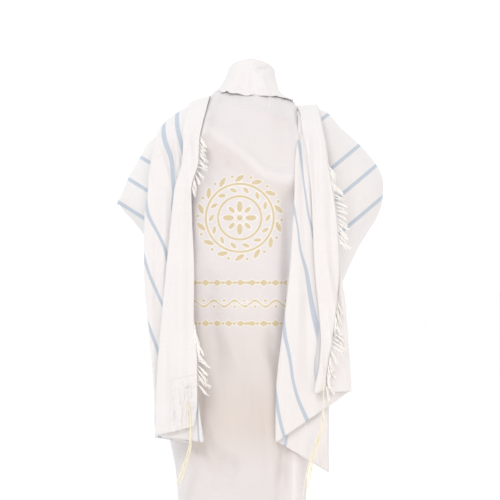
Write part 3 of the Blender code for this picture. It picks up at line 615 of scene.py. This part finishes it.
def place_fall(side, rows, ends, path, facing, folds, cloth, run_faces, u, v):
    """The four layers: straight runs across, joined by half-circle turns as wide as the layers' gap."""
    rows, shoulder, names = rows[side], SHOULDERS[side], FALL_COLUMNS[1:]
    top = rows["height"][0]
    heights = {name: mix(top, end, v**EASING) for name, end in zip(names, ends)}
    columns = {name: along(rows["height"], rows[name], heights[name]) for name in names}
    mean_fall = top - sum(heights.values()) / len(heights)
    gap = mix(0.0046, 0.0100, ease(mean_fall / 0.30))
    step = run_faces + TURN
    at = u * faces_across(run_faces)
    run = np.minimum(at // step, 3).astype(int)
    past = at - run * step
    turning = past > run_faces + 0.001
    start_x, start_z, end_x, end_z = (
        np.choose(run, [source[name] for name in chosen])
        for chosen in (names[:4], names[1:]) for source in (columns, heights)
    )
    sign = np.sign(end_x - start_x)
    x0 = start_x + sign * gap / 2 * (run > 0)
    x1 = end_x - sign * gap / 2 * (run < 3)
    t = np.clip(past / run_faces, 0, 1)
    turn = np.clip((past - run_faces) / TURN, 0, 1) * math.pi
    x = np.where(turning, x1 + sign * np.sin(turn) * gap / 2, mix(x0, x1, t))
    height = np.where(turning, end_z, mix(start_z, end_z, t))
    layer = 3 - run - np.where(turning, (1 - np.cos(turn)) / 2, 0)
    fall = top - height
    small = 0.0005
    behind = along(path["below"], path["behind"], fall)
    slip = (along(path["below"], path["behind"], fall + small) - behind) / small
    run_y, run_z = slip / np.hypot(slip, 1), 1 / np.hypot(slip, 1)
    ridge = along(shoulder["x"], shoulder["z"], x)
    slope = (along(shoulder["x"], shoulder["z"], x + small) - ridge) / small
    thick = layer * gap
    curl = 1.8 * np.clip(np.abs(x) - 0.19, 0, None) ** 2 * ease(fall / 0.1)
    sway = 0.004 * np.sin(11 * x + 5.5 * height) * ease(fall / 0.2)
    free = ease((fall - 0.02) / 0.10)
    lift = fold_lift(folds[side], x, height) + unevenness(x, height, 21, 0.07, 0.50, 0.0008)
    y = -behind + facing * (curl + sway - run_z * thick - lift * free)
    z = mix(height, ridge - fall, 1 - ease(fall / 0.30))
    z = z + np.abs(run_y) * thick * np.hypot(1, slope)
    # How far along the cloth a point is from the fringed edge.
    done, bend = np.where(turning, 1.0, t), gap * math.pi / 2
    stations, outer, fullness, easing = cloth[side]
    outer_c = along(stations, outer, height)
    full = along(stations, fullness, height)
    first_end = np.abs(columns["middle_fold"] - columns["edge"])
    third_wide = np.abs(columns["outer_fold"] - columns["tucked_fold"])
    third_in = third_wide * (1 - done)
    third_from_edge = outer_c - full * third_in * (1 - easing * third_in)
    third_start = outer_c - full * third_wide * (1 - easing * third_wide)
    from_edge = np.choose(run, [
        first_end * done,
        mix(first_end + bend, third_start - bend, done),
        third_from_edge,
        outer_c + bend + np.abs(x - columns["outer_fold"]),
    ]) + gap * turn / 2
    # No stripe shows on the second layer, apart from its last eighth at the left, nor on the third more
    # than 110 mm in from the outer fold, nor beyond the first 30 mm of the fourth one at the right.
    deep_in = ease((third_in - 0.110) / 0.010)
    last_in = ease((np.abs(x - columns["outer_fold"]) - 0.030) / 0.010) * (x > 0)
    low_stripe = ease((done - 0.88) / 0.03) * (x < 0) * (facing > 0)
    plain = np.choose(run, [0 * x, 1 - low_stripe, deep_in, np.where(turning, 0, last_in)])
    return (x, y, z), (from_edge, fall), {
        "stripe_place": stripe_place(from_edge, FALL_STRIPES[side]), "plain_here": plain,
    }


falls, fall_pieces = {}, {}
for side in SIDES:
    falls[side] = partial(
        place_fall, side, FALLS, FALL_ENDS[side], FALL_PATH, 1, FALL_FOLDS, FALL_CLOTH, FALL_RUN
    )
    fall = lay_cloth(f"thrown_back_end_{side}", faces_across(FALL_RUN), 186, falls[side], striped_wool)
    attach(fall, "root")
    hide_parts(f"{side}_fall")
    fall_pieces[side] = fall


# -------------------- the ends that stay in front
# Below each shoulder the same wool comes down the chest in the same folds, narrower, and ends above the
# waist. Nothing is sewn: its own weight holds it.
TAILS = both_sides(FALL_COLUMNS, [
    (10, -112, -180, -132, -270, -162), (-40, -104, -166, -120, -220, -150),
    (-110, -92, -146, -104, -168, -134), (-460, -78, -140, -92, -162, -128),
], [
    (-30, 197, 147, 200, 141, 182), (-80, 184, 134, 188, 124, 168),
    (-150, 160, 110, 164, 98, 146), (-460, 152, 94, 156, 82, 134),
])
TAIL_ENDS = (-0.440, -0.430, -0.425, -0.415, -0.410)
TAIL_PATH = table(("behind", "below"), [
    (0, 0), (-28, 1), (-56, 7), (-88, 24), (-114, 54), (-134, 104), (-145, 170), (-150, 250), (-152, 500),
])
TAIL_FOLDS = {
    "left": [
        (-130, -100, -115, -420, 9, 3), (-105, -140, -98, -420, 8, -2.6), (-155, -200, -150, -400, 8, 2.4),
    ],
    "right": [
        (150, -120, 122, -420, 9, 3), (125, -150, 105, -420, 8, -2.6), (95, -200, 90, -400, 8, 2.4),
    ],
}
TAIL_CLOTH = {
    "left": ([0.01, -0.45], [0.2285, 0.2285], [0.85, 0.85], 0.0),
    "right": ([-0.03, -0.45], [0.17, 0.17], [1.05, 1.05], 1.6),
}
tails, tail_pieces = {}, {}
for side in SIDES:
    tails[side] = partial(place_fall, side, TAILS, TAIL_ENDS, TAIL_PATH, -1, TAIL_FOLDS, TAIL_CLOTH, TAIL_RUN)
    tail = lay_cloth(f"front_end_{side}", faces_across(TAIL_RUN), 96, tails[side], striped_wool)
    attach(tail, "root")
    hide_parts(f"{side}_front_tail")
    tail_pieces[side] = tail


# -------------------- the fold that stands round the neck
# Between the shoulders the upper part of the cloth is turned over outwards and stands round the neck
# like a collar. Its free edge is a narrow rolled hem that lies a little off the back.
COLLAR_LINES = ("base", "crest", "waist", "edge")
COLLAR = table([line + axis for line in COLLAR_LINES for axis in "xyz"], [
    (-44, 62, -62, -40, 70, -38, -54, 76, -56, -72, 78, -80),
    (-58, 40, -12, -52, 44, 34, -68, 50, 8, -86, 52, -16),
    (-65, -2, 8, -60, -4, 74, -73, -6, 46, -98, -16, 12),
    (-47, -56, 14, -43, -60, 92, -54, -76, 46, -72, -89.5, 8),
    (0, -80, 13, 0, -84, 101, 0, -97, 48, 4, -104, -3),
    (47, -56, 14, 45, -60, 92, 55, -78, 36, 76, -90.5, -5),
    (66, -2, 6, 70, -6, 70, 76, -18, -10, 134, -46, -21),
    (60, 40, -12, 62, 44, 36, 74, 48, 0, 96, 46, -30),
    (46, 62, -62, 44, 70, -38, 60, 76, -60, 78, 80, -84),
])
COLLAR_FOLDS = [
    (-36, 66, -50, 8, 5.5, 4.4), (-50, 62, -74, 12, 6, -4.4), (-22, 60, -26, 8, 6, -3.8),
    (-12, 80, -6, 14, 7, 3), (6, 70, 12, 10, 6.5, -2.4), (18, 72, 52, 78, 5, -4.6),
    (16, 84, 48, 90, 5, 3.4), (30, 56, 54, 6, 7, 3.4), (50, 52, 80, 0, 7, -3), (-60, 22, 40, 14, 5, 2),
    (-66, 9, -14, -1, 9, 5), (42, -2, 82, -6, 9, 5), (96, -8, 108, -12, 6, 3),
]
UP_FACES, OVER_FACES, DOWN_FACES = 24, 10, 34
FACES_HIGH = UP_FACES + OVER_FACES + DOWN_FACES


def place_collar(u, v):
    stations = np.linspace(0, 1, len(COLLAR["basex"]))
    base, crest, waist, edge = (
        np.array([along(stations, COLLAR[line + axis], u) for axis in "xyz"]) for line in COLLAR_LINES
    )
    edge[2] += unevenness(u, 0 * u, 33, 0.09, 1.0, 0.0016)
    out = edge - base
    out[2] = 0
    out /= np.hypot(out[0], out[1])
    step = v * FACES_HIGH
    up = np.clip(step / UP_FACES, 0, 1)
    turn = math.pi * np.clip((step - UP_FACES) / OVER_FACES, 0, 1)
    down = np.clip((step - UP_FACES - OVER_FACES) / DOWN_FACES, 0, 1)
    half = 0.0045
    rising = mix(base, crest - out * half, up)
    over = crest - out * half * np.cos(turn) + np.array([[0], [0], [1]]) * half * np.sin(turn)
    falling = (crest + out * half) * (1 - down) ** 2 + waist * 2 * down * (1 - down) + edge * down**2
    points = np.where(step <= UP_FACES, rising, np.where(down <= 0, over, falling))
    behind = np.clip(-out[1] * 1.4, 0, 1) * ease(down / 0.12)
    lift = fold_lift(COLLAR_FOLDS, points[0], points[2]) * behind
    lift += unevenness(u, v, 31, 0.16, 0.9, 0.0009) * ease(down / 0.2)
    # The rolled hem: the last few millimetres turn a little outwards.
    lift += (unevenness(u, 0 * u, 34, 0.07, 1.0, 0.0032) - 0.0004) * ease((down - 0.93) / 0.07)
    points = points + out * lift
    return tuple(points), (u * 0.42, step * 0.0036), {"stripe_place": np.full(len(u), NO_STRIPE)}


collar = lay_cloth("neck_fold_cloth", 210, FACES_HIGH, place_collar, striped_wool)
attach(collar, "root")
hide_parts("neck_fold")


# -------------------- the patch on the corner that shows
# A square of the same wool, sewn on all round where a hole carries the tzitzit, as on each corner of the
# cloth. It lies on the outermost layer and puckers a little between its seams.
PATCH_WIDE, PATCH_HIGH = 0.08, 0.15
PATCH_TOP = 0.845


def place_patch(u, v):
    across = u * (2 / 3) * FALL_RUN / faces_across(FALL_RUN)
    down = mix(PATCH_TOP, 1.0, v) ** (1 / EASING)
    here, beside, above = (
        np.array(falls["left"](across + aside, down - up)[0])
        for aside, up in ((0, 0), (0.0015, 0), (0, 0.0015))
    )
    normal = np.cross((beside - here).T, (above - here).T).T
    normal /= np.linalg.norm(normal, axis=0)
    normal *= np.where(normal[1] > 0, -1, 1)
    from_seam = np.minimum(np.minimum(u, 1 - u) * PATCH_WIDE, np.minimum(v, 1 - v) * PATCH_HIGH)
    sewn = ease(from_seam / 0.012)
    crinkled = unevenness(here[0], here[2], 51, 0.018, 0.060, 0.0028)
    crinkled += unevenness(here[0], here[2], 52, 0.030, 0.020, 0.0016)
    points = here + normal * (0.0011 + sewn * (0.0008 + np.clip(crinkled, 0, None)))
    return tuple(points), (u * PATCH_WIDE, v * PATCH_HIGH), {"stripe_place": np.full(len(u), NO_STRIPE)}


patch = lay_cloth("corner_patch", 40, 70, place_patch, striped_wool)
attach(patch, "root")
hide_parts("left_corner_patch")


# -------------------- the fringe
# Warp ends left long at the cloth's edge. They are tied in small locks: two strands leave the edge,
# are knotted, and hang as six twisted yarns, crinkled from the loom and from washing.
def twisted_yarn(name, light, dark, twist):
    """Wool yarn, spun and plied: matt, round, with a fine slanting twist."""
    made, tree, surface, place = new_material(name)
    # The real twist repeats every millimetre or so; it is drawn coarser, so that it shows.
    ply = add_node(
        tree, "TexWave", {"Vector": place, "Scale": WAVE_REPEAT / twist, "Distortion": 1.5},
        bands_direction="DIAGONAL",
    ).outputs["Fac"]
    height = maths(tree, "ADD", ply, noise(tree, place, 90.0, 3.0))
    feed(surface, {
        "Base Color": toned(tree, ply, dark, light), "Normal": bumped(tree, height, 0.5, 0.0004),
        "Roughness": 0.9, "Specular IOR Level": 0.2, "Sheen Weight": 0.8,
    })
    return made


def lay_strands(name, strands, finish, sides):
    """Yarns and cords as round tubes in one mesh. Each is the points that it follows, and its radius."""
    line = bpy.data.curves.new(name, "CURVE")
    line.dimensions = "3D"
    line.bevel_depth = 1.0
    line.bevel_resolution = sides // 2 - 2
    line.use_fill_caps = True
    for points, radius in strands:
        spline = line.splines.new("POLY")
        spline.points.add(len(points) - 1)
        spline.points.foreach_set("co", np.column_stack([points, np.ones(len(points))]).ravel())
        spline.points.foreach_set("radius", np.full(len(points), radius, np.float32))
    drawn = bpy.data.objects.new(name, line)
    mesh = bpy.data.meshes.new_from_object(drawn)
    bpy.data.objects.remove(drawn)
    bpy.data.curves.remove(line)
    mesh.name = name
    mesh.materials.clear()
    mesh.materials.append(finish)
    mesh.shade_smooth()
    return add_object(name, mesh)


# Where each stretch starts and ends down its edge, how many locks it has, their length and how many degrees
# they swing out. A point a third of the way over the first layer tells which way is out.
FALL_THIRD = FALL_RUN / 3 / faces_across(FALL_RUN)
TAIL_THIRD = TAIL_RUN / 3 / faces_across(TAIL_RUN)
FRINGES = {
    "left_fall_upper_fringe": (falls["left"], FALL_THIRD, -0.120, -0.274, 14, 0.034, 40),
    "left_fall_lower_fringe": (falls["left"], FALL_THIRD, -0.660, -0.850, 14, 0.046, 15),
    "right_fall_upper_fringe": (falls["right"], FALL_THIRD, -0.205, -0.440, 20, 0.040, 40),
    "right_fall_lower_fringe": (falls["right"], FALL_THIRD, -0.600, -0.855, 20, 0.046, 24),
    "left_front_fringe": (tails["left"], TAIL_THIRD, -0.165, -0.430, 18, 0.050, 42),
    "right_front_fringe": (tails["right"], TAIL_THIRD, -0.165, -0.430, 18, 0.050, 42),
}
# From the edge to a lock's knot, then how thick its strands, its knot's loop and its yarns are.
TO_KNOT = 0.008
STRAND_RADIUS, LOOP_RADIUS, YARN_RADIUS = 0.0008, 0.0009, 0.00115


def unit(vectors):
    return vectors / np.linalg.norm(vectors, axis=-1, keepdims=True)


def fringe_strands(place, inward, top, bottom, count, length, swing, chance):
    """The strands of every lock down one edge."""
    v = np.linspace(0, 1, 400)
    edge, inside = (np.array(place(0 * v + across, v)[0]) for across in (0, inward))
    heights = np.linspace(top, bottom, 2 * count + 1)
    at, within = (
        np.array([np.interp(-heights, -edge[2], row) for row in line]).T for line in (edge, inside)
    )
    out, down = unit(at - within), unit(np.gradient(at, axis=0))
    normal = np.cross(out, down)
    fall = np.array([0.0, 0.0, -1.0])
    strands, lean, tilt = [], 0.0, 0.0
    for k in range(count):
        i = 2 * k + 1
        lean = 0.7 * lean + chance.normal(0, 13)
        tilt = 0.5 * tilt + chance.normal(0, 9)
        angle, away = math.radians(max(swing + lean, 4)), math.radians(tilt)
        hang = unit(out[i] * math.sin(angle) + fall * math.cos(angle) + normal[i] * math.sin(away))
        side = unit(np.cross(normal[i], hang))
        front = np.cross(side, hang)
        knot = at[i] + out[i] * 0.0010 + hang * TO_KNOT
        for j in (-1, 1):
            root = at[i + j] + (at[i] - at[i + j]) * 0.45 + out[i] * 0.0006
            strands.append(([root, (root + knot) / 2 + front * 0.0004 * j, knot], STRAND_RADIUS))
        loop = [
            knot + (side * math.cos(a) + front * math.sin(a)) * 0.0011 + hang * 0.0004 * (a - 4)
            for a in np.linspace(0, 2.6 * math.pi, 12)
        ]
        strands.append((loop, LOOP_RADIUS))
        for j in range(6):
            around = math.tau * j / 6 + chance.uniform(-0.4, 0.4)
            spread = chance.uniform(0.6, 1.5) * 0.0022
            reach = length * chance.uniform(0.72, 1.0) - TO_KNOT
            beat, start = chance.uniform(2.0, 3.6), chance.uniform(0, math.tau)
            yarn = []
            for t in np.linspace(0, 1, 11):
                crinkle = 0.0008 * min(t * 4, 1) * math.sin(math.tau * beat * t + start)
                sideways = math.cos(around) * (0.0008 + spread * t) + crinkle
                frontways = math.sin(around) * (0.0008 + 0.45 * spread * t) + 0.5 * crinkle
                sag = fall * 0.10 * reach * t * t
                yarn.append(knot + hang * reach * t + side * sideways + front * frontways + sag)
            strands.append((yarn, YARN_RADIUS))
    return strands


fringe_yarn = twisted_yarn("cream_wool_yarn_plied", "FFFEFC", "FBF9F5", 0.0030)
for number, (name, numbers) in enumerate(FRINGES.items()):
    strands = fringe_strands(*numbers, np.random.default_rng(40 + number))
    piece_name = name.replace("fall", "thrown_end").replace("front", "front_end")
    fringe = lay_strands(piece_name, strands, fringe_yarn, 4)
    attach(fringe, "root")
    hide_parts(name)


# -------------------- the tzitzit
# One hangs from each corner: long wool strands passed through the corner's hole, wound round each
# other with one long strand and knotted five times, so that eight strands hang free below.
TZITZIT = {
    "left_fall_tzitzit": table("xyz", [
        (-182, -197.5, -897), (-172, -200, -945), (-173, -200, -1014),
        (-192, -192, -1090), (-214, -188, -1150),
    ]),
    "right_fall_tzitzit": table("xyz", [
        (213, -194.8, -842), (213, -203, -900), (210, -206, -955), (192, -204, -1020),
        (171, -200, -1094), (159, -195, -1185),
    ]),
    "left_front_tzitzit": table("xyz", [
        (-84, 186.3, -420), (-82, 189, -480), (-80, 190, -560), (-80, 190, -640), (-81, 190, -700),
    ]),
    "right_front_tzitzit": table("xyz", [
        (146, 189, -420), (147, 191, -480), (148, 190, -560), (148, 190, -640), (147, 190, -700),
    ]),
}
WOUND_LENGTH, WINDS = 0.095, 52
CORE_RADIUS, WINDING_RADIUS, FREE_RADIUS = 0.0015, 0.00062, 0.0009


def tzitzit_strands(line, chance):
    """The wound cord, its knots and its eight free strands."""
    stations = np.linspace(0, 1, len(line["x"]))

    def at(t):
        return np.stack([along(stations, line[axis], t) for axis in "xyz"], axis=-1)

    wound = WOUND_LENGTH / np.linalg.norm(np.diff(at(stations), axis=0), axis=1).sum()
    strands = [(at(np.linspace(0, wound, 24)), CORE_RADIUS)]
    t = np.linspace(0, wound, 520)
    turn = math.tau * WINDS * t / wound
    # The five knots are a quarter of the winding apart, and it swells out over each.
    swell = np.exp(-((((t / wound * 4) + 0.5) % 1 - 0.5) / 0.10) ** 2)
    coil = (CORE_RADIUS + 0.0011 * swell)[:, None]
    ring = np.stack([np.cos(turn), np.sin(turn), np.zeros(len(t))], axis=-1)
    strands.append((at(t) + ring * coil, WINDING_RADIUS))
    for i in range(8):
        turn_to = math.tau * (i + 0.5) / 8
        way = np.array([math.sin(turn_to), math.cos(turn_to), 0.0])
        other = np.array([way[1], -way[0], 0.0])
        last = 1 - 0.08 * (1 + math.sin(2.1 * i))
        t = np.linspace(wound * 0.97, last, 40)
        along_it = (t - t[0]) / (t[-1] - t[0])
        beats, start = chance.uniform(3, 6), chance.uniform(0, math.tau)
        kink = 0.0011 * np.sin(math.tau * beats * along_it + start) * np.clip(along_it * 5, 0, 1)
        reach = 0.0012 + 0.0070 * along_it
        strands.append((at(t) + way * reach[:, None] + other * kink[:, None], FREE_RADIUS))
    return strands


cord_wool = twisted_yarn("cream_wool_cord_twisted", "FAF4E0", "F3EACF", 0.0035)
for number, (name, line) in enumerate(TZITZIT.items()):
    strands = tzitzit_strands(line, np.random.default_rng(60 + number))
    tassel = lay_strands(f"tzitzit_{number + 1}", strands, cord_wool, 6)
    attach(tassel, "root")
    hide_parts(name)


# -------------------- the studio
# A wide pale floor under a bright, soft sky, with one large soft lamp above and to one side, and a weak
# warm one low down near the hem.
FLOOR_HEIGHT, FLOOR_RADIUS = -1.36, 60


def plain_matt(name, tint, roughness):
    """Matt painted board: no gloss, one even tone."""
    made, tree, surface, place = new_material(name)
    tone = toned(tree, noise(tree, place, 0.8, 2.0), tint, "FFFFFF")
    feed(surface, {"Base Color": tone, "Roughness": roughness, "Specular IOR Level": 0.1})
    return made


shape = bmesh.new()
bmesh.ops.create_circle(shape, cap_ends=True, segments=96, radius=FLOOR_RADIUS)
bmesh.ops.translate(shape, verts=shape.verts, vec=(0, 0, FLOOR_HEIGHT))
mesh = bpy.data.meshes.new("studio_floor")
shape.to_mesh(mesh)
shape.free()
mesh.materials.append(plain_matt("pale_matt_paint", "FFFFFF", 0.95))
floor = add_object("studio_floor", mesh)

sky = bpy.data.worlds.new("even_sky")
sky.use_nodes = True
# The studio's far side is white and its near side a little darker, so that the lamp shapes the folds.
tree = sky.node_tree
direction = add_node(tree, "TexCoord").outputs["Generated"]
towards_wall = add_node(tree, "SeparateXYZ", {"Vector": direction}).outputs["Y"]
brightness = ramp(tree, towards_wall, -0.25, 0.25, 0.78, 1.20)
feed(tree.nodes["Background"], {"Color": linear("FFFFFF"), "Strength": brightness})
bpy.context.scene.world = sky


def add_lamp(name, place, towards, size, power, tint):
    light = bpy.data.lights.new(name, "AREA")
    light.shape = "DISK"
    light.size = size
    light.energy = power
    light.color = linear(tint)[:3]
    lamp = add_object(name, light)
    lamp.location = place
    lamp.rotation_euler = (Vector(towards) - Vector(place)).to_track_quat("-Z", "Y").to_euler()


add_lamp("soft_key", (-1.5, -4.9, 4.6), (0, 0, -0.5), size=2.2, power=134, tint="FFFEFD")
add_lamp("warm_low_fill", (0.9, -2.6, -1.2), (0, 0, -1.05), size=0.8, power=8, tint="FFCFA8")

lens = bpy.data.cameras.new("camera")
lens.sensor_width = 36
lens.lens = 218.8
lens.clip_end = 200
camera = add_object("camera", lens)
camera.location = (0, -9, -0.4557)
camera.rotation_euler = (math.pi / 2, 0, 0)
bpy.context.scene.camera = camera
bpy.context.scene.view_settings.view_transform = "Standard"
